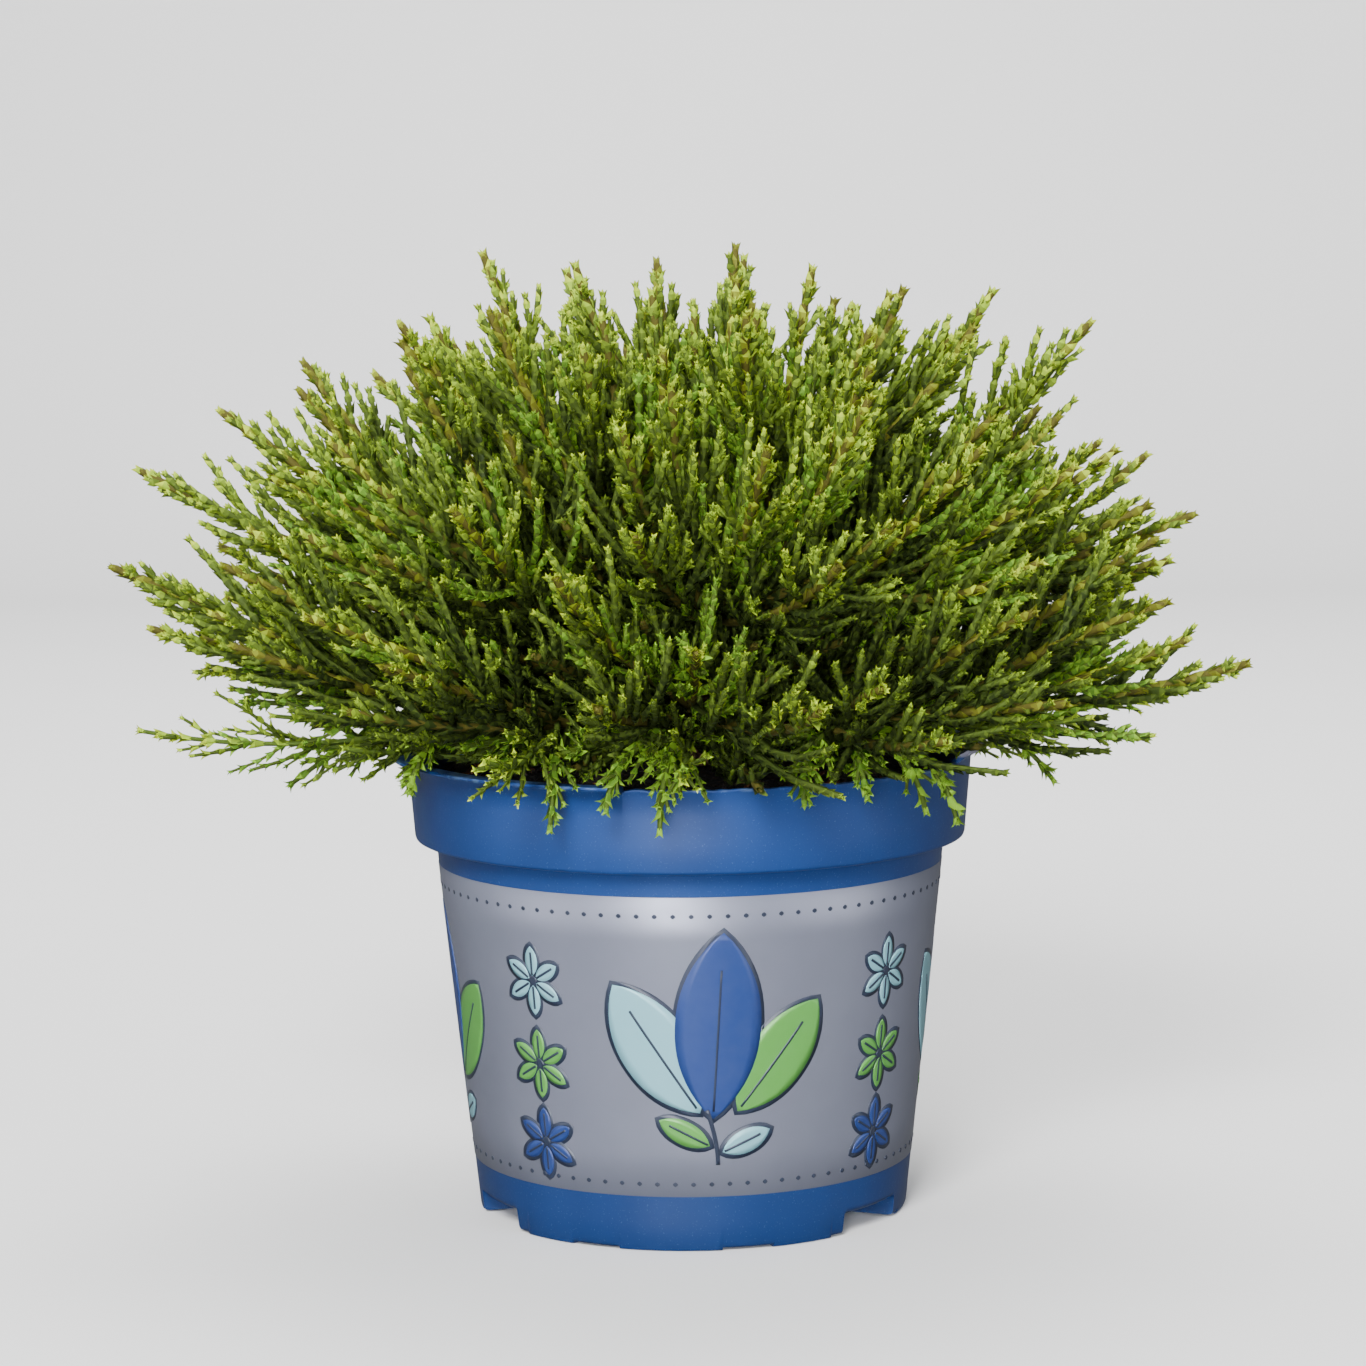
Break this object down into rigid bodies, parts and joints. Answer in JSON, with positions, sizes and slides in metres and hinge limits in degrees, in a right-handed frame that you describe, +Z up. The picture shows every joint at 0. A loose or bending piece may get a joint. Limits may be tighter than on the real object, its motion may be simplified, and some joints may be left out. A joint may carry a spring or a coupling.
{
  "type": "potted whipcord hebe shrub",
  "caption": "Young evergreen whipcord hebe, a dome of scale-leaved shoots on short boughs, growing in compost in a round nursery pot with a stepped collar and thin rim.",
  "frame": {"origin": "middle of the pot's flat underside", "axes": "+Z up along the pot's axis, -Y towards the viewer of the picture, +X to the viewer's right"},
  "size_m": [0.2412, 0.2302, 0.208],
  "materials": {
    "pot_plastic": "satin, slightly pearly blue with a grey printed band",
    "compost": "dark, coarse and crumbly",
    "bark": "fine-cracked reddish-brown bark",
    "foliage": "waxy scale leaves, olive to lime green"
  },
  "bodies": {
    "root": {"pot": "pot_plastic", "compost": "compost", "main_stem": "bark", "bough_top": "bark", "bough_upper_01": "bark", "bough_upper_02": "bark", "bough_upper_03": "bark", "bough_upper_04": "bark", "bough_upper_05": "bark", "bough_middle_01": "bark", "bough_middle_02": "bark", "bough_middle_03": "bark", "bough_middle_04": "bark", "bough_middle_05": "bark", "bough_middle_06": "bark", "bough_middle_07": "bark", "bough_middle_08": "bark", "bough_lower_01": "bark", "bough_lower_02": "bark", "bough_lower_03": "bark", "bough_lower_04": "bark", "bough_lower_05": "bark", "bough_lower_06": "bark", "bough_lower_07": "bark", "bough_lower_08": "bark", "bough_lower_09": "bark", "bough_lower_10": "bark", "foliage_top": "foliage", "foliage_upper_01": "foliage", "foliage_upper_02": "foliage", "foliage_upper_03": "foliage", "foliage_upper_04": "foliage", "foliage_upper_05": "foliage", "foliage_middle_01": "foliage", "foliage_middle_02": "foliage", "foliage_middle_03": "foliage", "foliage_middle_04": "foliage", "foliage_middle_05": "foliage", "foliage_middle_06": "foliage", "foliage_middle_07": "foliage", "foliage_middle_08": "foliage", "foliage_lower_01": "foliage", "foliage_lower_02": "foliage", "foliage_lower_03": "foliage", "foliage_lower_04": "foliage", "foliage_lower_05": "foliage", "foliage_lower_06": "foliage", "foliage_lower_07": "foliage", "foliage_lower_08": "foliage", "foliage_lower_09": "foliage", "foliage_lower_10": "foliage"}
  },
  "joints": []
}
